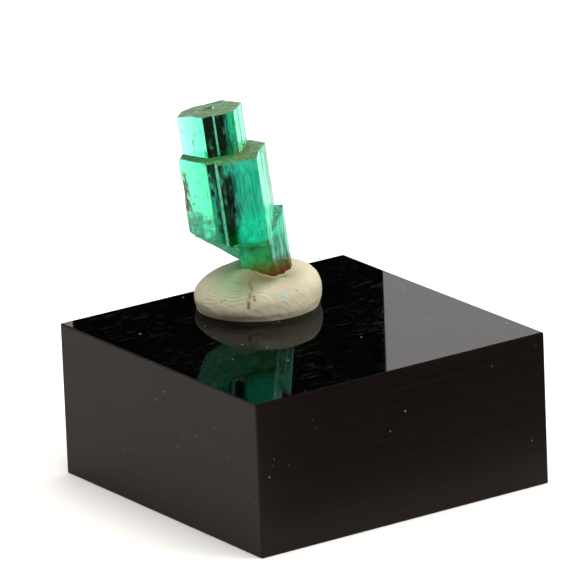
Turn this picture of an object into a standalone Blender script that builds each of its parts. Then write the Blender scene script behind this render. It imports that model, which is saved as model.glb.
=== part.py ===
"""Emerald crystal set in a pad of putty on a square display block.

The origin is the middle of the block's underside, +Z is up and the block's sides run along X and Y.
The crystals and the pad are laid out on a grid that is turned about Z: "right" and "away" are its two
level directions, and heights count from the top of the block.
"""

import math

import bmesh
import bpy
from mathutils import Matrix, Vector, noise

MM = 0.001
TOUCH_GAP = 0.3 * MM

# Display block
BLOCK_SIDE = 33.0 * MM
BLOCK_HEIGHT = 15.05 * MM
BLOCK_EASED_EDGE = 0.15 * MM
BLOCK_COLOUR = (0.006, 0.005, 0.005)

# The grid that the crystals and the pad are laid out on
GRID_TURN = math.radians(-34.0)
PAD_CENTRE = Vector((-4.0, 7.9)) * MM

# Pad of putty: half sizes at its widest level, which is lower at the front, how square its dome is on each
# side, the dent by the foot, and the mound pushed up in front of it
PAD_HALF_WIDTH = 6.2 * MM
PAD_HALF_DEPTH = 5.95 * MM
PAD_WIDEST_BACK = 1.45 * MM
PAD_WIDEST_FRONT = 0.75 * MM
PAD_HEIGHT = 4.15 * MM
PAD_FOOTPRINT = 0.95
PAD_SQUARE_RIGHT = 2.9
PAD_SQUARE_LEFT = 1.6
PAD_SEGMENTS = 56
PAD_RINGS = 9
PAD_DENT_CENTRE = Vector((1.9, -0.9)) * MM
PAD_DENT_RADIUS = 2.2 * MM
PAD_DENT_DEPTH = 1.05 * MM
PAD_MOUND_CENTRE = Vector((-1.3, -2.2)) * MM
PAD_MOUND_RADIUS = 1.3 * MM
PAD_MOUND_HEIGHT = 0.55 * MM
PAD_COLOUR = (0.74, 0.68, 0.55)
PAD_CREASE_ANGLE = math.radians(40)

# Crystals: headings of the side faces, walked from the left corner and seen from above, and the lean
LEFT_FACE = -45
FRONT_FACE = 15
RIGHT_FACE = 75
BACK_RIGHT_FACE = 135
BACK_FACE = 195
BACK_LEFT_FACE = 255
CRYSTAL_LEAN = math.radians(-6.0)
CRYSTAL_COLOUR = (0.05, 0.62, 0.36)

# The main crystal's upper left corner is the zero point of the crystal sizes, which are in millimetres from
# here on: an outline is walked from its start, and a cut takes away what lies beyond its point and normal.
MAIN_CORNER = PAD_CENTRE.to_3d() + Vector((-6.98, 0.0, 14.79)) * MM
FOOT_END = -14.0

# Tall crystal, the narrow one that reaches highest
TALL_START = (0.38, 1.42)
TALL_OUTLINE = (
    (LEFT_FACE, 3.5), (FRONT_FACE, 1.0), (LEFT_FACE, 0.29), (FRONT_FACE, 1.9),
    (RIGHT_FACE, 1.3), (FRONT_FACE, 0.05), (RIGHT_FACE, 1.6), (BACK_RIGHT_FACE, 2.65),
)
TALL_TOP_STOCK = 5.0
TALL_TOP_POINT = (3.0, 1.0, 3.98)
TALL_TOP_NORMAL = (-0.02, 0.01, 1.0)
TALL_TOP_RELIEF = 0.07
TALL_WORN_LEFT_RIM = ((0.4, 1.4, 3.68), (-0.2, 0.03, 1.0))
TALL_WORN_RIGHT_CORNER = ((5.8, -0.6, 3.85), (0.25, -0.6, 1.0))
TALL_LOWER_END = ((0.4, 1.4, -8.3), (-0.5, -0.35, -1.0))

# Main crystal, the broad one: its top is the ledge, and its lower left end is the oblique break
MAIN_START = (0.0, 0.0)
MAIN_OUTLINE = (
    (LEFT_FACE, 3.77), (FRONT_FACE, 0.75), (LEFT_FACE, 0.4), (FRONT_FACE, 3.9),
    (RIGHT_FACE, 1.5), (FRONT_FACE, 0.05), (RIGHT_FACE, 1.91), (BACK_RIGHT_FACE, 2.09),
)
MAIN_BOTTOM = -13.8
MAIN_TOP_STOCK = 1.0
MAIN_WORN_FRONT_RIM = ((2.4, -2.4, -0.04), (0.25, -0.8, 1.6))
MAIN_WORN_RIGHT_CORNER = ((7.8, -1.45, -0.1), (0.6, -0.5, 1.0))
MAIN_WORN_LEFT_CORNER = ((0.1, 0.1, -0.12), (-1.0, 0.1, 1.0))
MAIN_BREAK_LIP = ((0.1, -0.1, -7.4), (-1.0, -0.25, -1.25))
MAIN_BACK_END = ((3.6, 2.3, -11.95), (-0.35, 0.3, -1.0))
LEDGE_POINT = (0.0, 0.0, 0.0)
LEDGE_NORMAL = (0.01, -0.02, 1.0)
LEDGE_RELIEF = 0.05
BREAK_POINT = (0.0, 0.0, -7.62)
BREAK_NORMAL = (-0.72, -0.65, -1.0)
BREAK_RELIEF = 0.16

# Foot crystal, the short one that goes down into the putty
FOOT_START = (4.45, -1.9)
FOOT_OUTLINE = ((FRONT_FACE, 3.2), (RIGHT_FACE, 2.4), (BACK_RIGHT_FACE, 0.9))
FOOT_TOP = -8.4
FOOT_WORN_END = ((6.0, -1.5, -13.9), (0.1, -0.25, -1.0))

# Spur crystal, the narrow one on the lower right, with two growth steps on its front
SPUR_START = (7.2, -0.74)
SPUR_OUTLINE = (
    (FRONT_FACE, 1.25), (RIGHT_FACE, 0.38), (FRONT_FACE, 0.5), (RIGHT_FACE, 0.7), (BACK_RIGHT_FACE, 1.2),
)
SPUR_BOTTOM = -13.5
SPUR_TOP_STOCK = -5.0
SPUR_SLANTING_TOP = ((8.1, 1.71, -6.35), (-0.818, -0.731, 1.0))
SPUR_BACK_TOP = ((8.9, 1.1, -6.25), (0.5, 0.9, 1.0))

# Notch under the main crystal's front, where the foot crystal's front face comes to light
NOTCH_MARGIN = 0.06
NOTCH_LENGTH = 6.0
NOTCH_DEPTH = 3.0
NOTCH_BOTTOM = -16.0
NOTCH_TOP_STOCK = -8.0
NOTCH_ROOF = ((4.45, -1.9, -8.77), (0.17, 0.1, 1.0))

# Pits and chips: centre and half sizes of the scooped hollow
TOP_PIT = ((3.5, 1.9, 4.05), (0.7, 0.5, 0.32))
LEDGE_PIT = ((6.6, 0.9, 0.12), (0.45, 0.4, 0.3))
EDGE_CHIP = ((-0.2, -0.25, -3.1), (0.5, 0.75, 1.5))
BREAK_PIT = ((4.55, -2.75, -8.75), (0.5, 0.4, 0.35))
PIT_SEGMENTS = 12

# Uneven cuts: the cutting slab's size and cells, and the spacing of its broad and its fine bumps
ROUGH_SIZE = 26.0
ROUGH_THICKNESS = 6.5
ROUGH_CELLS = 66
BROAD_BUMPS = 1.7
FINE_BUMPS = 0.55
FINE_SHARE = 0.6

# Socket in the pad: its upper end, and how far its walls stand off the foot
SOCKET_TOP = -10.8
SOCKET_ROOM = 2.4 * TOUCH_GAP


def clear_scene():
    for old in list(bpy.data.objects):
        bpy.data.objects.remove(old)


def make_material(name, colour, roughness, transmission=0.0):
    material = bpy.data.materials.new(name)
    material.use_nodes = True
    shader = material.node_tree.nodes["Principled BSDF"]
    shader.inputs["Base Color"].default_value = (*colour, 1.0)
    shader.inputs["Roughness"].default_value = roughness
    shader.inputs["Metallic"].default_value = 0.0
    shader.inputs["Transmission Weight"].default_value = transmission
    return material


def add_object(name, shape, material=None):
    """Makes an object of a closed shape, with its faces pointing out."""
    mesh = bpy.data.meshes.new(name)
    bmesh.ops.recalc_face_normals(shape, faces=shape.faces[:])
    if shape.calc_volume(signed=True) < 0:
        bmesh.ops.reverse_faces(shape, faces=shape.faces[:])
    shape.to_mesh(mesh)
    shape.free()
    if material:
        mesh.materials.append(material)
    made = bpy.data.objects.new(name, mesh)
    bpy.context.scene.collection.objects.link(made)
    return made


def add_boolean(target, other, operation):
    modifier = target.modifiers.new(operation.lower(), "BOOLEAN")
    modifier.operation = operation
    modifier.object = other
    modifier.solver = "EXACT"
    other.hide_render = True
    other.display_type = "WIRE"


def grid_matrix():
    """Turns right and away into X and Y, and puts height 0 on the block's top."""
    return Matrix.Translation((0, 0, BLOCK_HEIGHT)) @ Matrix.Rotation(GRID_TURN, 4, "Z")


def crystal_matrix():
    """Stands the crystals on the grid, leaning to the left."""
    return grid_matrix() @ Matrix.Translation(MAIN_CORNER) @ Matrix.Rotation(CRYSTAL_LEAN, 4, "Y")


def heading_vector(heading):
    return Vector((math.cos(math.radians(heading)), math.sin(math.radians(heading))))


def walk(start, outline):
    """Corners of a crystal seen from above, from the heading and length of each side face.

    The last two faces, the back and the back left one, close the outline.
    """
    points = [Vector(start) * MM]
    for heading, length in outline:
        points.append(points[-1] + length * MM * heading_vector(heading))
    left = points[0] - points[-1]
    back = heading_vector(BACK_FACE)
    side = heading_vector(BACK_LEFT_FACE)
    back_length = (left.x * side.y - left.y * side.x) / (back.x * side.y - back.y * side.x)
    points.append(points[-1] + back * back_length)
    return points


def prism(corners, bottom, top):
    solid = bmesh.new()
    floor = solid.faces.new([solid.verts.new((corner.x, corner.y, bottom * MM)) for corner in corners])
    raised = bmesh.ops.extrude_face_region(solid, geom=[floor])["geom"]
    lifted = [item for item in raised if isinstance(item, bmesh.types.BMVert)]
    bmesh.ops.translate(solid, verts=lifted, vec=(0, 0, (top - bottom) * MM))
    return solid


def cut(solid, plane):
    """Takes away what lies on the normal's side of a plane, and closes the cut."""
    point, normal = plane
    everything = solid.verts[:] + solid.edges[:] + solid.faces[:]
    parted = bmesh.ops.bisect_plane(
        solid, geom=everything, plane_co=Vector(point) * MM, plane_no=normal, clear_outer=True
    )
    rim = [item for item in parted["geom_cut"] if isinstance(item, bmesh.types.BMEdge)]
    bmesh.ops.contextual_create(solid, geom=rim)


def make_rough_slab(name, point, normal, relief, seed):
    """A cutting slab whose near face is uneven, like a natural crystal end or a break."""
    solid = bmesh.new()
    bmesh.ops.create_grid(solid, x_segments=ROUGH_CELLS, y_segments=ROUGH_CELLS, size=ROUGH_SIZE / 2 * MM)
    near_face = solid.verts[:]
    rim = [edge for edge in solid.edges if edge.is_boundary]
    lifted = bmesh.ops.extrude_edge_only(solid, edges=rim)["geom"]
    raised = [item for item in lifted if isinstance(item, bmesh.types.BMVert)]
    bmesh.ops.translate(solid, verts=raised, vec=(0, 0, ROUGH_THICKNESS * MM))
    bmesh.ops.contextual_create(solid, geom=[edge for edge in solid.edges if edge.is_boundary])
    for vert in near_face:
        broad = noise.noise(vert.co / (BROAD_BUMPS * MM) + Vector((seed, 0, 0)))
        fine = noise.noise(vert.co / (FINE_BUMPS * MM) + Vector((0, seed, 0)))
        vert.co.z += relief * MM * (broad + FINE_SHARE * fine)
    turn = Vector(normal).to_track_quat("Z", "Y").to_matrix().to_4x4()
    solid.transform(Matrix.Translation(Vector(point) * MM) @ turn)
    slab = add_object(name, solid)
    slab.matrix_world = crystal_matrix()
    return slab


def make_tall_crystal():
    solid = prism(walk(TALL_START, TALL_OUTLINE), FOOT_END, TALL_TOP_STOCK)
    for plane in (TALL_WORN_LEFT_RIM, TALL_WORN_RIGHT_CORNER, TALL_LOWER_END):
        cut(solid, plane)
    crystal = add_object("tall_crystal", solid)
    top = make_rough_slab("tall_top", TALL_TOP_POINT, TALL_TOP_NORMAL, TALL_TOP_RELIEF, seed=3)
    add_boolean(crystal, top, "DIFFERENCE")
    return crystal


def make_main_crystal():
    solid = prism(walk(MAIN_START, MAIN_OUTLINE), MAIN_BOTTOM, MAIN_TOP_STOCK)
    for plane in (
        MAIN_WORN_FRONT_RIM, MAIN_WORN_RIGHT_CORNER, MAIN_WORN_LEFT_CORNER, MAIN_BREAK_LIP, MAIN_BACK_END
    ):
        cut(solid, plane)
    return solid


def make_foot_crystal():
    solid = prism(walk(FOOT_START, FOOT_OUTLINE), FOOT_END, FOOT_TOP)
    cut(solid, FOOT_WORN_END)
    return solid


def make_spur_crystal():
    solid = prism(walk(SPUR_START, SPUR_OUTLINE), SPUR_BOTTOM, SPUR_TOP_STOCK)
    cut(solid, SPUR_SLANTING_TOP)
    cut(solid, SPUR_BACK_TOP)
    return solid


def make_break_notch():
    right = heading_vector(FRONT_FACE)
    front = Vector((right.y, -right.x))
    start = (Vector(FOOT_START) - NOTCH_MARGIN * (right + front)) * MM
    across = right * NOTCH_LENGTH * MM
    out = front * NOTCH_DEPTH * MM
    solid = prism([start, start + out, start + out + across, start + across], NOTCH_BOTTOM, NOTCH_TOP_STOCK)
    cut(solid, NOTCH_ROOF)
    return solid


def make_pit(name, centre, half_sizes):
    solid = bmesh.new()
    bmesh.ops.create_uvsphere(
        solid, u_segments=PIT_SEGMENTS, v_segments=PIT_SEGMENTS // 2 + 1, radius=1.0
    )
    bmesh.ops.scale(solid, verts=solid.verts[:], vec=Vector(half_sizes) * MM)
    bmesh.ops.translate(solid, verts=solid.verts[:], vec=Vector(centre) * MM)
    return add_object(name, solid)


def make_emerald():
    """Joins the grown-together crystals in one solid, then chips and pits it."""
    material = make_material("emerald", CRYSTAL_COLOUR, 0.08, transmission=0.9)
    emerald = add_object("emerald_crystal", make_main_crystal(), material)
    steps = [
        (make_rough_slab("ledge", LEDGE_POINT, LEDGE_NORMAL, LEDGE_RELIEF, seed=4), "DIFFERENCE"),
        (make_rough_slab("break", BREAK_POINT, BREAK_NORMAL, BREAK_RELIEF, seed=8), "DIFFERENCE"),
        (add_object("break_notch", make_break_notch()), "DIFFERENCE"),
        (make_tall_crystal(), "UNION"),
        (add_object("foot_crystal", make_foot_crystal()), "UNION"),
        (add_object("spur_crystal", make_spur_crystal()), "UNION"),
        (make_pit("top_pit", *TOP_PIT), "DIFFERENCE"),
        (make_pit("ledge_pit", *LEDGE_PIT), "DIFFERENCE"),
        (make_pit("edge_chip", *EDGE_CHIP), "DIFFERENCE"),
        (make_pit("break_pit", *BREAK_PIT), "DIFFERENCE"),
    ]
    for other, operation in steps:
        add_boolean(emerald, other, operation)
        other.matrix_world = crystal_matrix()
    emerald.matrix_world = crystal_matrix()
    return emerald


def pad_dent(right, away):
    """How far the putty is pressed in where the foot leans on it, less what is pushed up in front."""
    place = Vector((right, away)) - PAD_CENTRE
    reach = (place - PAD_DENT_CENTRE).length / PAD_DENT_RADIUS
    mound_reach = (place - PAD_MOUND_CENTRE).length / PAD_MOUND_RADIUS
    return PAD_DENT_DEPTH * math.exp(-reach * reach) - PAD_MOUND_HEIGHT * math.exp(-mound_reach * mound_reach)


def widest_level(angle):
    frontness = (0.5 - 0.5 * math.sin(angle)) ** 2
    return PAD_WIDEST_BACK + (PAD_WIDEST_FRONT - PAD_WIDEST_BACK) * frontness


def pad_point(angle, radius_share, level):
    """One point of the pad: its share of the half sizes in this direction, and its height."""
    right = PAD_CENTRE.x + PAD_HALF_WIDTH * radius_share * math.cos(angle)
    away = PAD_CENTRE.y + PAD_HALF_DEPTH * radius_share * math.sin(angle)
    pressed = max(0.0, level - widest_level(angle)) / (PAD_HEIGHT - widest_level(angle))
    return right, away, level - pressed * pad_dent(right, away)


def dome_ring(rise, angles):
    """One ring of the pad's dome, which is squarer on its right than on its left."""
    points = []
    for angle in angles:
        rightness = 0.5 + 0.5 * math.cos(angle)
        square = PAD_SQUARE_LEFT + (PAD_SQUARE_RIGHT - PAD_SQUARE_LEFT) * rightness
        share = math.cos(rise) ** (2 / square)
        lowest = widest_level(angle)
        level = lowest + (PAD_HEIGHT - lowest) * math.sin(rise) ** (2 / square)
        points.append(pad_point(angle, share, level))
    return points


def make_pad_solid():
    solid = bmesh.new()
    angles = [2 * math.pi * step / PAD_SEGMENTS for step in range(PAD_SEGMENTS)]
    rings = [[solid.verts.new(pad_point(angle, PAD_FOOTPRINT, TOUCH_GAP)) for angle in angles]]
    for ring in range(PAD_RINGS):
        rise = math.radians(90) * ring / PAD_RINGS
        rings.append([solid.verts.new(point) for point in dome_ring(rise, angles)])
    for lower, upper in zip(rings, rings[1:]):
        for step in range(PAD_SEGMENTS):
            after = (step + 1) % PAD_SEGMENTS
            solid.faces.new((lower[step], lower[after], upper[after], upper[step]))
    peak = solid.verts.new(pad_point(0.0, 0.0, PAD_HEIGHT))
    for step in range(PAD_SEGMENTS):
        solid.faces.new((rings[-1][step], rings[-1][(step + 1) % PAD_SEGMENTS], peak))
    solid.faces.new(list(reversed(rings[0])))
    return solid


def make_socket(emerald):
    """The hollow round the foot: the foot's outer shape, with the gap all round it."""
    bpy.context.view_layer.update()
    shape = emerald.evaluated_get(bpy.context.evaluated_depsgraph_get())
    foot = bmesh.new()
    foot.from_mesh(shape.to_mesh())
    everything = foot.verts[:] + foot.edges[:] + foot.faces[:]
    bmesh.ops.bisect_plane(
        foot, geom=everything, plane_co=(0, 0, SOCKET_TOP * MM), plane_no=(0, 0, 1), clear_outer=True
    )
    hollow = bmesh.new()
    for vert in foot.verts:
        hollow.verts.new(vert.co)
    foot.free()
    hull = bmesh.ops.convex_hull(hollow, input=hollow.verts[:])
    inner = hull["geom_interior"] + hull["geom_unused"]
    spare = {item for item in inner if isinstance(item, bmesh.types.BMVert)}
    bmesh.ops.delete(hollow, geom=list(spare), context="VERTS")
    low = Vector([min(vert.co[axis] for vert in hollow.verts) for axis in range(3)])
    high = Vector([max(vert.co[axis] for vert in hollow.verts) for axis in range(3)])
    middle = (low + high) / 2
    for vert in hollow.verts:
        for axis in range(3):
            grown = 1 + SOCKET_ROOM / (high[axis] - low[axis])
            vert.co[axis] = middle[axis] + (vert.co[axis] - middle[axis]) * grown
    socket = add_object("socket", hollow)
    socket.matrix_world = crystal_matrix()
    return socket


def make_putty_pad(emerald):
    pad = add_object("putty_pad", make_pad_solid(), make_material("putty", PAD_COLOUR, 0.75))
    pad.matrix_world = grid_matrix()
    add_boolean(pad, make_socket(emerald), "DIFFERENCE")
    pad.data.shade_smooth()
    pad.data.set_sharp_from_angle(angle=PAD_CREASE_ANGLE)
    return pad


def make_display_block():
    solid = bmesh.new()
    bmesh.ops.create_cube(solid, size=1.0)
    bmesh.ops.scale(solid, verts=solid.verts[:], vec=(BLOCK_SIDE, BLOCK_SIDE, BLOCK_HEIGHT))
    bmesh.ops.translate(solid, verts=solid.verts[:], vec=(0, 0, BLOCK_HEIGHT / 2))
    block = add_object("display_block", solid, make_material("black_acrylic", BLOCK_COLOUR, 0.12))
    easing = block.modifiers.new("eased_edges", "BEVEL")
    easing.width = BLOCK_EASED_EDGE
    easing.segments = 2
    return block


def main():
    clear_scene()
    make_display_block()
    emerald = make_emerald()
    make_putty_pad(emerald)


main()
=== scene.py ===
import math

import bmesh
import bpy
from mathutils import Matrix, Vector, noise
from mathutils.bvhtree import BVHTree


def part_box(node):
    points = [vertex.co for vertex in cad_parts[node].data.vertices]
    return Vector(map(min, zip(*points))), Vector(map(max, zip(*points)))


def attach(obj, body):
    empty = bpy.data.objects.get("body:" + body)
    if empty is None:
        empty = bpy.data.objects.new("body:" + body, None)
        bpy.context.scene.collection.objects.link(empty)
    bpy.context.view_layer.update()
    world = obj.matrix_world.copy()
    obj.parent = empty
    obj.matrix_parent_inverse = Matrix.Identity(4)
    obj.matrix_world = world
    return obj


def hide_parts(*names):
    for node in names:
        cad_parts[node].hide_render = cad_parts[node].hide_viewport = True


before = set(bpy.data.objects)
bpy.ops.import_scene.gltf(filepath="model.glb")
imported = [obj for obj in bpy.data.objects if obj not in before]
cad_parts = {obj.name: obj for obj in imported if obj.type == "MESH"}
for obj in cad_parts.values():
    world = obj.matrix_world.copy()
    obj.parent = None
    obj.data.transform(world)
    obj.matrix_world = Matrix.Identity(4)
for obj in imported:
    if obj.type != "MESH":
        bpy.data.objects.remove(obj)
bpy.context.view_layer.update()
MM = 0.001

# Studio: a pale floor in a white diffuser tent that is darker on the camera's side, a soft overhead lamp and
# a weak one from the right. Dark cards stand behind and in front, and a bright one stands further back. They
# aren't seen themselves: the clear crystal and the polished block pick them up.
view_azimuth = math.radians(-33.97)
view_elevation = math.radians(17.46)
view_roll = math.radians(-2.33)
view_distance = 790.7 * MM
lens_mm = 522.2
sensor_width_mm = 36
aim_right = -1.25 * MM
aim_up = 3.8 * MM
block_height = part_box("display_block")[1][2]

towards_camera = Vector((
    math.sin(view_azimuth) * math.cos(view_elevation),
    -math.cos(view_azimuth) * math.cos(view_elevation),
    math.sin(view_elevation),
))
level_right = Vector((math.cos(view_azimuth), math.sin(view_azimuth), 0))
level_up = towards_camera.cross(level_right)
frame_right = math.cos(view_roll) * level_right + math.sin(view_roll) * level_up
frame_up = math.cos(view_roll) * level_up - math.sin(view_roll) * level_right
camera_data = bpy.data.cameras.new("camera")
camera_data.lens = lens_mm
camera_data.sensor_width = sensor_width_mm
camera_data.clip_start = 0.01
camera = bpy.data.objects.new("camera", camera_data)
camera.matrix_world = Matrix((frame_right, frame_up, towards_camera)).transposed().to_4x4()
aim_point = Vector((0, 0, block_height)) + frame_right * aim_right + frame_up * aim_up
camera.matrix_world.translation = aim_point + towards_camera * view_distance
bpy.context.scene.collection.objects.link(camera)
bpy.context.scene.camera = camera
bpy.context.scene.view_settings.view_transform = "Standard"


def add_piece(name, shape, *materials):
    mesh = bpy.data.meshes.new(name)
    shape.to_mesh(mesh)
    shape.free()
    for material in materials:
        mesh.materials.append(material)
    piece = bpy.data.objects.new(name, mesh)
    bpy.context.scene.collection.objects.link(piece)
    return piece


def new_material(name, colour, roughness):
    """A new material, its node tree and its shader."""
    material = bpy.data.materials.new(name)
    material.use_nodes = True
    shader = material.node_tree.nodes["Principled BSDF"]
    shader.inputs["Base Color"].default_value = (*colour, 1.0)
    shader.inputs["Roughness"].default_value = roughness
    return material, material.node_tree, shader


def add_node(tree, kind, **values):
    """Adds a shader node; a value named after one of its inputs goes there, any other is a setting."""
    made = tree.nodes.new(kind)
    for name, value in values.items():
        socket = made.inputs.get(name.replace("_", " "))
        if socket is None:
            setattr(made, name, value)
        elif isinstance(value, bpy.types.NodeSocket):
            tree.links.new(value, socket)
        else:
            socket.default_value = value
    return made


def fade(tree, value, start, end, low=0.0, high=1.0):
    """Goes softly from low at start to high at end, and stays there."""
    ramp = add_node(
        tree, "ShaderNodeMapRange", Value=value, From_Min=start, From_Max=end, To_Min=low, To_Max=high,
        interpolation_type="SMOOTHSTEP"
    )
    return ramp.outputs["Result"]


floor_shape = bmesh.new()
bmesh.ops.create_grid(floor_shape, x_segments=1, y_segments=1, size=4.0)
floor_material, _, _ = new_material("pale_floor", (0.95, 0.93, 0.89), 0.7)
floor = add_piece("floor", floor_shape, floor_material)

tent_light = 0.90
tent_light_by_camera = 0.30
tent_shade_starts = 0.25
tent_shade_full = 0.8
tent = bpy.data.worlds.new("diffuser_tent")
tent.use_nodes = True
tent_tree = tent.node_tree
tent_shader = tent_tree.nodes["Background"]
tent_shader.inputs["Color"].default_value = (1.0, 0.99, 0.97, 1.0)
tent_direction = add_node(tent_tree, "ShaderNodeTexCoord").outputs["Generated"]
camera_side = add_node(tent_tree, "ShaderNodeVectorMath", operation="DOT_PRODUCT")
tent_tree.links.new(tent_direction, camera_side.inputs[0])
camera_side.inputs[1].default_value = (math.sin(view_azimuth), -math.cos(view_azimuth), 0)
tent_strength = fade(
    tent_tree, camera_side.outputs["Value"], tent_shade_starts, tent_shade_full,
    tent_light, tent_light_by_camera
)
tent_tree.links.new(tent_strength, tent_shader.inputs["Strength"])
bpy.context.scene.world = tent


def add_lamp(name, azimuth, elevation, distance, size, watts):
    """A square diffuser lamp, aimed at the block's top. Azimuth 0 is over the camera's shoulder."""
    turn = view_azimuth + math.radians(azimuth)
    rise = math.radians(elevation)
    outward = Vector((math.sin(turn) * math.cos(rise), -math.cos(turn) * math.cos(rise), math.sin(rise)))
    lamp_data = bpy.data.lights.new(name, "AREA")
    lamp_data.size = size
    lamp_data.energy = watts
    lamp = bpy.data.objects.new(name, lamp_data)
    lamp.location = outward * distance + Vector((0, 0, block_height))
    lamp.rotation_euler = outward.to_track_quat("Z", "Y").to_euler()
    bpy.context.scene.collection.objects.link(lamp)
    return lamp


add_lamp("overhead_lamp", 60, 74, 0.7, 0.8, 5.6)
fill_lamp = add_lamp("fill_lamp", 78, 20, 0.5, 0.3, 1.2)
fill_lamp.visible_glossy = False
fill_lamp.visible_transmission = False


def add_card(name, foot_left, foot_right, top, grey, glow=0.0, foot=0.0):
    """An upright card between two points, in millimetres. One that glows is only seen mirrored."""
    card_material, _, card_shader = new_material(name, (grey, grey, grey), 1.0)
    card_shader.inputs["Specular IOR Level"].default_value = 0.0
    card_shader.inputs["Emission Color"].default_value = (1.0, 0.97, 0.95, 1.0)
    card_shader.inputs["Emission Strength"].default_value = glow
    shape = bmesh.new()
    corners = [(*foot_left, foot), (*foot_right, foot), (*foot_right, top), (*foot_left, top)]
    shape.faces.new([shape.verts.new(Vector(corner) * MM) for corner in corners])
    card = add_piece(name, shape, card_material)
    card.visible_camera = False
    card.visible_diffuse = False
    card.visible_shadow = False
    card.visible_transmission = glow == 0


add_card("back_card", (-2.5, 36.3), (24.3, 21.1), 33.0, 0.002)
add_card("front_card", (-25.0, -50.0), (75.0, -28.0), 60.0, 0.12)
add_card("side_card", (-12.0, -23.0), (60.0, -23.0), 16.0, 0.05)
add_card("bright_card", (50.0, 147.0), (117.0, 102.0), 73.0, 0.9, glow=1.25, foot=50.0)

# Display block: a square slab cut from black cast acrylic sheet. The sheet's own face on top is polished and
# has fine hairlines and dust; the four sides are sawn and lightly sanded, so they are satin.
acrylic_black = (0.0004, 0.0004, 0.0004)
scratched_grey = (0.055, 0.053, 0.050)
sawn_black = (0.0045, 0.0022, 0.0020)
saw_mark_black = (0.0065, 0.0048, 0.0044)
dust_on_top = (0.42, 0.40, 0.38)
dust_on_sides = (0.16, 0.15, 0.14)
acrylic_ior = 1.49
polished_roughness = 0.04
scratched_roughness = 0.18
first_hairline_angle = math.radians(20)
hairline_sets = (
    # length, width, angle
    (2.2 * MM, 0.08 * MM, first_hairline_angle),
    (2.8 * MM, 0.07 * MM, first_hairline_angle + 1.9),
    (3.2 * MM, 0.07 * MM, first_hairline_angle + 0.8),
)
rubbed_patch_size = 6 * MM
dusty_patch_size = 5 * MM
dust_spacing = 1.5 * MM
dust_radius = 0.105 * MM
dust_core_radius = 0.0675 * MM
saw_mark_length = 30 * MM
saw_mark_spacing = 0.16 * MM


def placed_noise(tree, place, spacing, detail=3.0, turn=0.0):
    """Noise whose grain has a real size along each axis."""
    space = add_node(tree, "ShaderNodeMapping", Vector=place)
    space.inputs["Rotation"].default_value = (0, 0, turn)
    space.inputs["Scale"].default_value = [1 / size for size in spacing]
    grain = add_node(tree, "ShaderNodeTexNoise", Vector=space.outputs["Vector"], Scale=1.0, Detail=detail)
    return grain.outputs["Fac"]


def figure(tree, operation, first, second):
    """The result of one sum, product or comparison of two values."""
    made = add_node(tree, "ShaderNodeMath", operation=operation)
    for socket, value in zip(made.inputs, (first, second)):
        if isinstance(value, bpy.types.NodeSocket):
            tree.links.new(value, socket)
        else:
            socket.default_value = value
    return made.outputs["Value"]


def tinted(tree, base, colour, amount):
    """The base colour with some of another one laid over it."""
    made = add_node(tree, "ShaderNodeMix", data_type="RGBA")
    for socket, value in ((made.inputs[0], amount), (made.inputs[6], base), (made.inputs[7], colour)):
        if isinstance(value, bpy.types.NodeSocket):
            tree.links.new(value, socket)
        else:
            socket.default_value = value if isinstance(value, float) else (*value, 1.0)
    return made.outputs[2]


block_material, block_tree, block_top = new_material("black_acrylic", acrylic_black, polished_roughness)
block_top.inputs["IOR"].default_value = acrylic_ior
block_top.inputs["Specular IOR Level"].default_value = 0.04
block_top.inputs["Specular Tint"].default_value = (0.98, 0.85, 0.80, 1.0)
block_place = add_node(block_tree, "ShaderNodeTexCoord").outputs["Object"]
scratches = 0.0
for length, width, angle in hairline_sets:
    hairlines = placed_noise(block_tree, block_place, (length, width, 1 * MM), turn=angle)
    scratches = figure(block_tree, "MAXIMUM", fade(block_tree, hairlines, 0.65, 0.76), scratches)
rubbed_patches = placed_noise(block_tree, block_place, [rubbed_patch_size] * 3)
scratches = figure(block_tree, "MULTIPLY", scratches, fade(block_tree, rubbed_patches, 0.38, 0.6, 0.3, 1.0))
dust_cells = add_node(block_tree, "ShaderNodeTexVoronoi", Vector=block_place, Scale=1 / dust_spacing)
dust = fade(
    block_tree, dust_cells.outputs["Distance"], dust_core_radius / dust_spacing, dust_radius / dust_spacing,
    1.0, 0.0
)
dusty_patches = placed_noise(block_tree, block_place, [dusty_patch_size] * 3)
dust = figure(block_tree, "MULTIPLY", dust, fade(block_tree, dusty_patches, 0.5, 0.62))
top_colour = tinted(block_tree, acrylic_black, scratched_grey, scratches)
top_colour = tinted(block_tree, top_colour, dust_on_top, dust)
block_tree.links.new(top_colour, block_top.inputs["Base Color"])
top_roughness = fade(block_tree, scratches, 0.0, 1.0, polished_roughness, scratched_roughness)
top_roughness = figure(block_tree, "MAXIMUM", top_roughness, dust)
block_tree.links.new(top_roughness, block_top.inputs["Roughness"])
top_bump = add_node(block_tree, "ShaderNodeBump", Height=scratches, Strength=0.25, Distance=0.004 * MM)
block_tree.links.new(top_bump.outputs["Normal"], block_top.inputs["Normal"])
block_sides = add_node(block_tree, "ShaderNodeBsdfPrincipled", IOR=acrylic_ior)
block_sides.inputs["Specular IOR Level"].default_value = 0.16
block_sides.inputs["Specular Tint"].default_value = (0.95, 0.82, 0.77, 1.0)
saw_marks = placed_noise(
    block_tree, block_place, (saw_mark_length, saw_mark_length, saw_mark_spacing), detail=4.0
)
block_tree.links.new(fade(block_tree, saw_marks, 0.3, 0.7, 0.44, 0.50), block_sides.inputs["Roughness"])
side_bump = add_node(block_tree, "ShaderNodeBump", Height=saw_marks, Strength=0.1, Distance=0.003 * MM)
block_tree.links.new(side_bump.outputs["Normal"], block_sides.inputs["Normal"])
side_colour = tinted(block_tree, sawn_black, saw_mark_black, fade(block_tree, saw_marks, 0.45, 0.8))
side_colour = tinted(block_tree, side_colour, dust_on_sides, dust)
block_tree.links.new(side_colour, block_sides.inputs["Base Color"])
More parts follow.
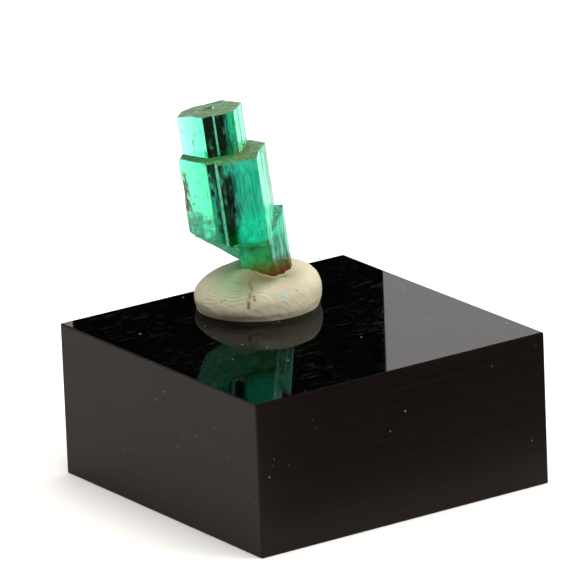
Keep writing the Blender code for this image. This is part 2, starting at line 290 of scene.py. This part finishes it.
block_normal = add_node(
    block_tree, "ShaderNodeSeparateXYZ", Vector=add_node(block_tree, "ShaderNodeTexCoord").outputs["Normal"]
)
is_top = figure(block_tree, "GREATER_THAN", block_normal.outputs["Z"], 0.6)
block_finish = add_node(block_tree, "ShaderNodeMixShader", Fac=is_top)
block_tree.links.new(block_sides.outputs["BSDF"], block_finish.inputs[1])
block_tree.links.new(block_top.outputs["BSDF"], block_finish.inputs[2])
block_tree.links.new(block_finish.outputs["Shader"], block_tree.nodes["Material Output"].inputs["Surface"])
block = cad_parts["display_block"]
block.data.materials.clear()
block.data.materials.append(block_material)

# Emerald: three long six-sided beryl crystals grown together side by side, with the foot set in the putty.
# The side faces are glassy with fine growth lines, and the right half is milky inside. The flat ends and the
# break at the lower left are duller and stained, and the foot is rusty.
grid_turn = math.radians(-34.0)
pad_centre = Vector((-4.0, 7.9, 0.0)) * MM
crystal_corner = pad_centre + Vector((-6.98, 0.0, 14.79)) * MM
crystal_lean = math.radians(-6.0)
beryl_ior = 1.577
beryl_green = (0.05, 0.955, 0.75, 1.0)
beryl_density = 505.0
glassy_roughness = 0.02
dull_end_roughness = 0.3
edge_wear = 0.05 * MM
sharp_edge = math.radians(22)
level_cut_spacing = 0.9 * MM
growth_line_spacing = 0.14 * MM
growth_line_depth = 0.0035 * MM
milky_side_starts = 4.6 * MM
milky_side_full = 6.0 * MM
grain_depth = 0.02 * MM
grain_size = 0.33 * MM
fine_grain_size = 0.14 * MM

grid_matrix = Matrix.Translation((0, 0, block_height)) @ Matrix.Rotation(grid_turn, 4, "Z")
crystal_matrix = grid_matrix @ Matrix.Translation(crystal_corner) @ Matrix.Rotation(crystal_lean, 4, "Y")

emerald_shape = bmesh.new()
emerald_shape.from_mesh(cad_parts["emerald_crystal"].data)
emerald_shape.transform(crystal_matrix.inverted())
bmesh.ops.remove_doubles(emerald_shape, verts=emerald_shape.verts[:], dist=0.002 * MM)
bmesh.ops.dissolve_limit(
    emerald_shape, angle_limit=math.radians(0.5), verts=emerald_shape.verts[:], edges=emerald_shape.edges[:]
)
crystal_hull = BVHTree.FromBMesh(emerald_shape)
worn_edges = [
    edge for edge in emerald_shape.edges
    if len(edge.link_faces) == 2
    and edge.calc_face_angle(0) > sharp_edge
    and edge.calc_length() > 2 * edge_wear
]
bmesh.ops.bevel(
    emerald_shape, geom=worn_edges, offset=edge_wear, offset_type="OFFSET", segments=1, profile=0.7,
    affect="EDGES", clamp_overlap=True
)

# A corner that the bevel threw out goes back to the solid.
for vert in emerald_shape.verts:
    nearest, _, _, gap = crystal_hull.find_nearest(vert.co)
    if gap > edge_wear:
        vert.co = nearest


def slice_shape(shape, axis, spacing):
    """Cuts every face along evenly spaced planes, so that it can carry relief."""
    places = [vert.co[axis] for vert in shape.verts]
    place = min(places) + spacing / 2
    direction = Vector([1.0 if index == axis else 0.0 for index in range(3)])
    while place < max(places):
        everything = shape.verts[:] + shape.edges[:] + shape.faces[:]
        bmesh.ops.bisect_plane(shape, geom=everything, plane_co=direction * place, plane_no=direction)
        place += spacing


slice_shape(emerald_shape, 2, level_cut_spacing)
slice_shape(emerald_shape, 0, growth_line_spacing)
slice_shape(emerald_shape, 1, growth_line_spacing)
emerald_shape.normal_update()
relief = {}
for vert in emerald_shape.verts:
    upright = [face for face in vert.link_faces if abs(face.normal.z) < 0.03]
    heading = vert.normal
    if len(upright) == len(vert.link_faces) and all(face.normal.dot(heading) > 0.999 for face in upright):
        along = vert.co.x * heading.y - vert.co.y * heading.x
        slow = noise.noise(Vector((along / (0.9 * MM), vert.co.z / (6 * MM), 4.0)))
        fine = noise.noise(Vector((along / (0.23 * MM), vert.co.z / (9 * MM), 1.0)))
        part_over = (vert.co.x - milky_side_starts) / (milky_side_full - milky_side_starts)
        milky_side = min(1.0, max(0.0, part_over))
        relief[vert] = growth_line_depth * (fine + 1.5 * slow) * (0.35 + 1.3 * milky_side)
    elif not upright and abs(heading.z) > 0.4:
        grain = noise.noise(vert.co / grain_size) + 0.6 * noise.noise(vert.co / fine_grain_size)
        relief[vert] = grain_depth * (grain - 0.6) * (0.4 if heading.z > 0 else 1.0)
for vert, depth in relief.items():
    vert.co += vert.normal * depth

emerald_material, emerald_tree, clear_beryl = new_material("emerald_beryl", (1.0, 1.0, 1.0), glassy_roughness)
clear_beryl.inputs["IOR"].default_value = beryl_ior
clear_beryl.inputs["Transmission Weight"].default_value = 1.0
emerald_inside = add_node(
    emerald_tree, "ShaderNodeVolumeAbsorption", Color=beryl_green, Density=beryl_density
)
emerald_output = emerald_tree.nodes["Material Output"]
emerald_tree.links.new(emerald_inside.outputs["Volume"], emerald_output.inputs["Volume"])


def place_in(tree, matrix):
    """The place on the object, given in the frame of a matrix."""
    inverse = matrix.inverted()
    object_place = add_node(tree, "ShaderNodeTexCoord").outputs["Object"]
    placed = add_node(tree, "ShaderNodeMapping", Vector=object_place)
    placed.inputs["Location"].default_value = inverse.translation
    placed.inputs["Rotation"].default_value = inverse.to_euler()
    return placed.outputs["Vector"]


def facing(tree, direction):
    """How squarely the surface faces a direction, from -1 to 1."""
    made = add_node(tree, "ShaderNodeVectorMath", operation="DOT_PRODUCT")
    tree.links.new(add_node(tree, "ShaderNodeTexCoord").outputs["Normal"], made.inputs[0])
    made.inputs[1].default_value = Vector(direction).normalized()
    return made.outputs["Value"]


emerald_place = place_in(emerald_tree, crystal_matrix)
place_axes = add_node(emerald_tree, "ShaderNodeSeparateXYZ", Vector=emerald_place).outputs
front_heading = grid_turn - math.radians(75)
front_direction = (math.cos(front_heading), math.sin(front_heading), 0)
left_heading = front_heading - math.radians(60)
left_direction = (math.cos(left_heading), math.sin(left_heading), 0)


def crystal_zone(*limits):
    """1 inside a box in the crystal's frame, softly 0 outside. A limit is axis, start and end in mm."""
    zone = 1.0
    for axis, start, end in limits:
        inside = fade(emerald_tree, place_axes[axis], start * MM, end * MM)
        zone = figure(emerald_tree, "MULTIPLY", inside, zone)
    return zone


def crystal_noise(right, away, up, low, high, least=0.0):
    """Patches of a real size, in millimetres, that fade in between two levels of noise."""
    patches = placed_noise(emerald_tree, emerald_place, (right * MM, away * MM, up * MM))
    return fade(emerald_tree, patches, low, high, least, 1.0)


def product(*values):
    """Several masks laid over each other, so that all of them have to let a spot through."""
    made = values[0]
    for value in values[1:]:
        made = figure(emerald_tree, "MULTIPLY", made, value)
    return made


faces_up = facing(emerald_tree, (0, 0, 1))
level_end = fade(emerald_tree, faces_up, 0.5, 0.75)
worn_rim = fade(emerald_tree, faces_up, 0.2, 0.45)
broken_end = fade(emerald_tree, faces_up, -0.2, -0.45)
front_face = fade(emerald_tree, facing(emerald_tree, front_direction), 0.80, 0.95)
left_face = fade(emerald_tree, facing(emerald_tree, left_direction), 0.80, 0.95)

milk = product(
    crystal_zone(("X", 5.0, 5.9), ("Z", -8.8, -8.3), ("Z", 0.1, -0.9)),
    fade(emerald_tree, front_face, 0, 1, 0.25, 1.0),
    crystal_noise(0.17, 0.17, 2.4, 0.32, 0.66, 0.55), crystal_noise(1.1, 1.1, 1.8, 0.35, 0.65, 0.75), 0.92
)
upper_veil = product(
    crystal_zone(("X", 3.9, 4.4), ("Z", -1.9, -1.2), ("Z", 0.1, -0.5)), front_face,
    crystal_noise(0.3, 0.3, 0.9, 0.34, 0.6, 0.35), 0.75
)
middle_veil = product(
    crystal_zone(("X", 4.7, 5.15), ("Z", -8.8, -8.3)), front_face,
    crystal_noise(0.2, 0.2, 1.6, 0.4, 0.62, 0.2), 0.7
)
low_glow = product(
    crystal_zone(("X", 4.3, 5.2), ("Z", -4.9, -7.0), ("Z", -9.0, -8.4)),
    fade(emerald_tree, front_face, 0, 1, 0.3, 1.0),
    crystal_noise(0.5, 0.5, 0.7, 0.3, 0.62, 0.3), 0.9
)
window_rag = product(
    crystal_zone(("X", 3.3, 2.9), ("Y", -0.9, -1.3), ("Z", -0.5, -1.3)), front_face,
    crystal_noise(0.35, 0.35, 0.8, 0.44, 0.56), 0.7
)
left_veil = product(
    crystal_zone(("X", 3.7, 2.8), ("Z", -5.0, -6.2)), crystal_noise(0.9, 0.9, 0.8, 0.28, 0.7, 0.15), 0.8
)
wisps = product(
    crystal_zone(("Z", -0.6, -1.2)), crystal_noise(0.2, 0.2, 1.5, 0.5, 0.7),
    crystal_noise(1.6, 1.6, 2.6, 0.38, 0.6), 0.32
)
inclusions = product(crystal_noise(0.5, 0.5, 0.8, 0.56, 0.72), crystal_noise(1.3, 1.3, 1.3, 0.4, 0.6), 0.6)
# Painted highlight: the light from the left that small growth steps on the left side catch, laid on as a pale
# green colour.
painted_step_highlights = product(
    left_face, crystal_zone(("X", 3.2, 3.4)), crystal_noise(0.25, 0.25, 0.35, 0.35, 0.55, 0.3), 0.85
)
right_streaks = product(
    crystal_zone(("X", 7.35, 7.6), ("Z", -11.9, -11.0)), crystal_noise(0.13, 0.13, 3.5, 0.46, 0.58), 0.6
)
spur_haze = product(
    crystal_zone(("X", 7.5, 7.8), ("Z", -5.8, -6.6)), crystal_noise(0.5, 0.5, 1.5, 0.3, 0.7, 0.4), 0.6
)
foot_haze = product(
    crystal_zone(("Z", -8.3, -9.2), ("X", 7.6, 7.2)), crystal_noise(0.9, 0.9, 0.9, 0.3, 0.65, 0.5), 0.9
)
foot_mint = product(
    crystal_zone(("Z", -8.5, -9.0), ("Z", -11.4, -10.6), ("X", 5.9, 4.9)),
    crystal_noise(0.7, 0.7, 0.7, 0.35, 0.65), 0.7
)
lower_left_specks = product(
    crystal_zone(("X", 2.9, 2.4), ("Z", -4.6, -5.4)), crystal_noise(0.4, 0.4, 0.45, 0.55, 0.68), 0.8
)
# Painted glints: white specks of light caught by the grainy break, laid on as colour.
painted_break_glints = product(broken_end, crystal_noise(0.16, 0.16, 0.14, 0.58, 0.68), 0.75)
corner_rust = product(
    crystal_zone(("X", 5.2, 5.7), ("X", 7.4, 6.0), ("Z", 1.6, 0.4), ("Z", -0.35, -0.1)),
    crystal_noise(0.45, 0.45, 0.5, 0.40, 0.6), 0.6
)
end_stain = product(level_end, crystal_noise(0.9, 0.9, 0.9, 0.25, 0.7, 0.45), 0.95)
break_grain = product(broken_end, crystal_noise(0.4, 0.4, 0.3, 0.42, 0.58, 0.1), 0.85)
rim_dirt = product(worn_rim, crystal_noise(0.4, 0.4, 0.4, 0.48, 0.66), 0.8)
brown_patch = product(
    crystal_zone(("X", 0.85, 0.35), ("Z", -0.9, -1.6), ("Z", -5.9, -4.9)),
    crystal_noise(0.45, 0.45, 0.7, 0.36, 0.56, 0.1), 0.95
)
olive_stain = product(
    crystal_zone(("Z", -10.3, -11.5)), crystal_noise(0.45, 0.45, 0.3, 0.25, 0.6, 0.4),
    fade(emerald_tree, place_axes["X"], 3.6 * MM, 5.0 * MM, 0.45, 0.95)
)
rust = product(
    crystal_zone(("Z", -11.2, -12.3)), fade(emerald_tree, place_axes["X"], 4.6 * MM, 7.5 * MM, 0.35, 1.0),
    crystal_noise(0.4, 0.4, 0.25, 0.25, 0.6, 0.6)
)

# Where and how strongly a stain, a veil or a painted highlight shows, and its colour, from the lowest to the
# one that lies on top.
layers = (
    (milk, (0.004, 0.46, 0.265)),
    (upper_veil, (0.03, 0.50, 0.32)),
    (middle_veil, (0.015, 0.42, 0.26)),
    (low_glow, (0.004, 0.66, 0.34)),
    (window_rag, (0.015, 0.45, 0.28)),
    (left_veil, (0.02, 0.37, 0.20)),
    (wisps, (0.14, 0.70, 0.50)),
    # painted highlight on the small steps of the left side
    (painted_step_highlights, (0.20, 0.80, 0.55)),
    (right_streaks, (0.50, 0.92, 0.80)),
    (spur_haze, (0.16, 0.68, 0.47)),
    (foot_haze, (0.035, 0.42, 0.12)),
    (foot_mint, (0.03, 0.60, 0.34)),
    (break_grain, (0.09, 0.85, 0.55)),
    # painted glints on the break
    (painted_break_glints, (0.60, 1.0, 0.85)),
    (end_stain, (0.022, 0.13, 0.030)),
    (inclusions, (0.05, 0.30, 0.11)),
    (rim_dirt, (0.09, 0.12, 0.03)),
    (lower_left_specks, (0.06, 0.12, 0.02)),
    (corner_rust, (0.18, 0.14, 0.022)),
    (brown_patch, (0.10, 0.10, 0.02)),
    (olive_stain, (0.07, 0.09, 0.008)),
    (rust, (0.115, 0.030, 0.003)),
)
skin_colour = layers[0][1]
clearness = 1.0
for amount, colour in layers:
    clearness = figure(emerald_tree, "MULTIPLY", clearness, figure(emerald_tree, "SUBTRACT", 1.0, amount))
    cover = figure(emerald_tree, "MAXIMUM", figure(emerald_tree, "SUBTRACT", 1.0, clearness), 0.001)
    skin_colour = tinted(emerald_tree, skin_colour, colour, figure(emerald_tree, "DIVIDE", amount, cover))
# The skin that carries the stains, veils and painted highlights where the crystal isn't clear.
skin_with_stains_and_painted_highlights = add_node(emerald_tree, "ShaderNodeBsdfPrincipled", Roughness=0.45, IOR=beryl_ior)
skin_with_stains_and_painted_highlights.inputs["Specular IOR Level"].default_value = 0.12
emerald_tree.links.new(skin_colour, skin_with_stains_and_painted_highlights.inputs["Base Color"])
dull_end = figure(emerald_tree, "MAXIMUM", level_end, broken_end)
clear_roughness = fade(emerald_tree, dull_end, 0.0, 1.0, glassy_roughness, dull_end_roughness)
emerald_tree.links.new(clear_roughness, clear_beryl.inputs["Roughness"])
growth_lines = placed_noise(emerald_tree, emerald_place, (0.12 * MM, 0.12 * MM, 7 * MM))
growth_bump = add_node(emerald_tree, "ShaderNodeBump", Height=growth_lines, Strength=0.25, Distance=0.02 * MM)
emerald_tree.links.new(growth_bump.outputs["Normal"], clear_beryl.inputs["Normal"])
emerald_tree.links.new(growth_bump.outputs["Normal"], skin_with_stains_and_painted_highlights.inputs["Normal"])
emerald_finish = add_node(emerald_tree, "ShaderNodeMixShader", Fac=clearness)
emerald_tree.links.new(skin_with_stains_and_painted_highlights.outputs["BSDF"], emerald_finish.inputs[1])
emerald_tree.links.new(clear_beryl.outputs["BSDF"], emerald_finish.inputs[2])
emerald_tree.links.new(emerald_finish.outputs["Shader"], emerald_output.inputs["Surface"])
emerald_shape.transform(crystal_matrix)
emerald = add_piece("emerald", emerald_shape, emerald_material)
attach(emerald, "root")
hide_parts("emerald_crystal")

# Putty pad: a ball of cream mineral putty, pressed flat on the block and round the crystal's foot by hand.
# It keeps the ridges of the fingers, a dent and a dirty crease by the foot. Beside the foot, its colour has
# painted green light cast through the crystal and a painted shadow of the crystal at the foot's right.
pad_half_width = 6.2 * MM
pad_half_depth = 5.95 * MM
pad_widest_back = 1.45 * MM
pad_widest_front = 0.75 * MM
pad_height = 4.15 * MM
pad_middle_level = 1.0 * MM
pad_footprint = 0.95
pad_square_right = 2.9
pad_square_left = 1.6
pad_dent_centre = Vector((1.9, -0.9)) * MM
pad_dent_radius = 2.2 * MM
pad_dent_depth = 1.05 * MM
pad_mound_centre = Vector((-1.3, -2.2)) * MM
pad_mound_radius = 1.3 * MM
pad_mound_height = 0.55 * MM
pad_segments = 320
pad_rings = 90
wall_rings = 16
ridge_spacing = 0.36 * MM
ridge_height = 0.014 * MM
ridge_wander = 0.55 * MM
ridge_centre = Vector((4.5, 10.0, 8.0)) * MM
lump_height = 0.11 * MM
lump_size = 2.3 * MM
small_lump_height = 0.035 * MM
small_lump_size = 0.7 * MM
plain_foot_height = 0.3 * MM
crease_start = Vector((-0.4, -1.6)) * MM
crease_end = Vector((-0.65, -5.7)) * MM
crease_wander = 0.9 * MM
crease_width = 0.13 * MM
crease_depth = 0.05 * MM

pad_shape = bmesh.new()
pad_levels = []
for ring in range(wall_rings):
    part_up = ring / wall_rings
    share = pad_footprint + (1 - pad_footprint) * math.sin(math.radians(90) * part_up)
    pad_levels.append(("wall", share, part_up))
for ring in range(pad_rings):
    pad_levels.append(("dome", math.radians(90) * ring / pad_rings, 0.0))


def crease_place(part_down):
    """A point of the wandering crease, seen from above."""
    place = crease_start.lerp(crease_end, part_down)
    return place + Vector((crease_wander * noise.noise(Vector((place.y / (1.6 * MM), 5.0, 0.0))), 0))


def crease_gap(point):
    """How far a point of the pad is from the crease, seen from above."""
    along = crease_end - crease_start
    part_down = min(1.0, max(0.0, (point.xy - crease_start).dot(along) / along.length_squared))
    return (point.xy - crease_place(part_down)).length


def pad_point(kind, value, part_up, angle):
    """A point of the wall at the block or of the dome above it, with its ridges, lumps and crease."""
    square = pad_square_left + (pad_square_right - pad_square_left) * (0.5 + 0.5 * math.cos(angle))
    frontness = (0.5 - 0.5 * math.sin(angle)) ** 2
    widest = pad_widest_back + (pad_widest_front - pad_widest_back) * frontness
    share = value
    level = widest * part_up
    if kind == "dome":
        share = math.cos(value) ** (2 / square)
        level = widest + (pad_height - widest) * math.sin(value) ** (2 / square)
    right = pad_half_width * share * math.cos(angle)
    away = pad_half_depth * share * math.sin(angle)
    pressed = max(0.0, level - widest) / (pad_height - widest)
    reach = (Vector((right, away)) - pad_dent_centre).length / pad_dent_radius
    level -= pressed * pad_dent_depth * math.exp(-reach * reach)
    reach = (Vector((right, away)) - pad_mound_centre).length / pad_mound_radius
    level += pressed * pad_mound_height * math.exp(-reach * reach)
    point = Vector((right, away, level))
    rise = (level - pad_middle_level) / pad_height ** 2
    outward = Vector((right / pad_half_width ** 2, away / pad_half_depth ** 2, rise))
    warp = noise.noise(point / (1.7 * MM)) * ridge_wander
    strength = 0.6 + 1.3 * noise.noise(point / (1.3 * MM) + Vector((9, 0, 2)))
    wave = math.sin(2 * math.pi * ((point - ridge_centre).length + warp) / ridge_spacing) * max(0.0, strength)
    lump = lump_height * (noise.noise(point / lump_size + Vector((3, 1, 7))) - 0.45)
    lump += small_lump_height * noise.noise(point / small_lump_size)
    crease = crease_depth * math.exp(-(crease_gap(point) / crease_width) ** 2)
    held = min(1.0, level / plain_foot_height)
    return point + outward.normalized() * (ridge_height * wave + lump - crease) * held + pad_centre


rings = []
for kind, value, part_up in pad_levels:
    rings.append([
        pad_shape.verts.new(pad_point(kind, value, part_up, 2 * math.pi * step / pad_segments))
        for step in range(pad_segments)
    ])
for lower, upper in zip(rings, rings[1:]):
    for step in range(pad_segments):
        after = (step + 1) % pad_segments
        pad_shape.faces.new((lower[step], lower[after], upper[after], upper[step]))
pad_peak = pad_shape.verts.new(pad_point("dome", math.radians(90), 0.0, 0.0))
for step in range(pad_segments):
    pad_shape.faces.new((rings[-1][step], rings[-1][(step + 1) % pad_segments], pad_peak))
pad_shape.faces.new(list(reversed(rings[0])))
for face in pad_shape.faces:
    face.smooth = True

putty_cream = (0.475, 0.43, 0.30)
putty_shade = (0.42, 0.35, 0.23)
crease_dirt = (0.14, 0.115, 0.04)
speck_brown = (0.12, 0.075, 0.015)
putty_material, putty_tree, putty_shader = new_material("cream_putty", putty_cream, 0.65)
putty_place = place_in(putty_tree, grid_matrix)
pad_surface = BVHTree.FromBMesh(pad_shape)


def spot_on_putty(right, away, radius, full_share=0.0):
    """A round spot on the pad's surface: 1 over the full share of its radius in mm, then fading to 0."""
    above = pad_centre + Vector((right, away, 20)) * MM
    surface, _, _, _ = pad_surface.ray_cast(above, Vector((0, 0, -1)))
    gap = add_node(putty_tree, "ShaderNodeVectorMath", operation="DISTANCE")
    putty_tree.links.new(putty_place, gap.inputs[0])
    gap.inputs[1].default_value = surface
    return fade(putty_tree, gap.outputs["Value"], radius * full_share * MM, radius * MM, 1.0, 0.0)


putty_clouds = placed_noise(putty_tree, putty_place, (1.6 * MM, 1.6 * MM, 1.2 * MM))
putty_clouds = fade(putty_tree, putty_clouds, 0.35, 0.7, 0.0, 0.35)
putty_colour = tinted(putty_tree, putty_cream, putty_shade, putty_clouds)
# Spots laid over the putty's colour: green rubs and stains, and painted light and shade from the crystal.
putty_stains_and_painted_light = (
    # right, away, radius, full share, amount, colour
    # These two spots are painted green light that the crystal casts on the putty left of and in front of the
    # foot, over a slight green stain.
    (-1.9, -2.9, 4.0, 0.1, 1.0, (0.21, 0.32, 0.165)),
    (-1.0, -4.3, 2.2, 0.1, 0.85, (0.17, 0.22, 0.11)),
    # Painted shadow of the crystal, falling on the putty at the right of the foot.
    (2.2, -2.6, 3.4, 0.15, 0.7, (0.25, 0.21, 0.125)),
    # Painted green shade close against the right of the foot.
    (2.4, -1.75, 0.9, 0.3, 0.9, (0.04, 0.12, 0.045)),
    # Darker olive and brown patches in front of the foot.
    (0.0, -3.2, 2.4, 0.15, 1.0, (0.11, 0.12, 0.04)),
    (1.0, -3.2, 1.5, 0.1, 0.9, (0.11, 0.085, 0.03)),
    (2.5, -5.0, 0.55, 0.1, 0.55, (0.20, 0.44, 0.40)),
)
for right, away, radius, full_share, amount, colour in putty_stains_and_painted_light:
    tint_amount = figure(putty_tree, "MULTIPLY", spot_on_putty(right, away, radius, full_share), amount)
    putty_colour = tinted(putty_tree, putty_colour, colour, tint_amount)
dirt_patches = placed_noise(putty_tree, putty_place, (0.5 * MM, 0.5 * MM, 0.5 * MM))
dirt_patches = fade(putty_tree, dirt_patches, 0.34, 0.62, 0.25)
crease_spots = 20
for spot in range(crease_spots):
    place = crease_place(spot / (crease_spots - 1)) / MM
    dirt = figure(putty_tree, "MULTIPLY", spot_on_putty(place.x, place.y, 0.36), dirt_patches)
    putty_colour = tinted(putty_tree, putty_colour, crease_dirt, dirt)
putty_specks = (
    # right, away, radius
    (-0.85, -5.6, 0.28), (-0.88, -5.72, 0.26), (-0.32, -5.3, 0.24), (-0.27, -5.5, 0.26),
    (3.8, -4.1, 0.13), (3.4, -3.8, 0.10), (-3.4, -4.5, 0.15), (-3.1, -4.55, 0.13),
    (4.65, -3.0, 0.10), (-1.6, -3.6, 0.09), (1.2, -4.6, 0.08),
)
for right, away, radius in putty_specks:
    putty_colour = tinted(putty_tree, putty_colour, speck_brown, spot_on_putty(right, away, radius))
putty_tree.links.new(putty_colour, putty_shader.inputs["Base Color"])
putty_grain = placed_noise(putty_tree, putty_place, (0.09 * MM, 0.09 * MM, 0.09 * MM), detail=4.0)
putty_bump = add_node(putty_tree, "ShaderNodeBump", Height=putty_grain, Strength=0.3, Distance=0.02 * MM)
putty_tree.links.new(putty_bump.outputs["Normal"], putty_shader.inputs["Normal"])
pad_shape.transform(grid_matrix)
putty = add_piece("putty", pad_shape, putty_material)

# The crystal's foot is cut out of the putty, which was pressed round it.
foot_cutter = bpy.data.objects.new("foot_cutter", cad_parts["emerald_crystal"].data.copy())
bpy.context.scene.collection.objects.link(foot_cutter)
foot_cut = putty.modifiers.new("foot", "BOOLEAN")
foot_cut.operation = "DIFFERENCE"
foot_cut.solver = "EXACT"
foot_cut.object = foot_cutter
bpy.context.view_layer.update()
cut_putty = bpy.data.meshes.new_from_object(putty.evaluated_get(bpy.context.evaluated_depsgraph_get()))
putty.modifiers.clear()
putty.data = cut_putty
bpy.data.objects.remove(foot_cutter)
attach(putty, "root")
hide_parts("putty_pad")
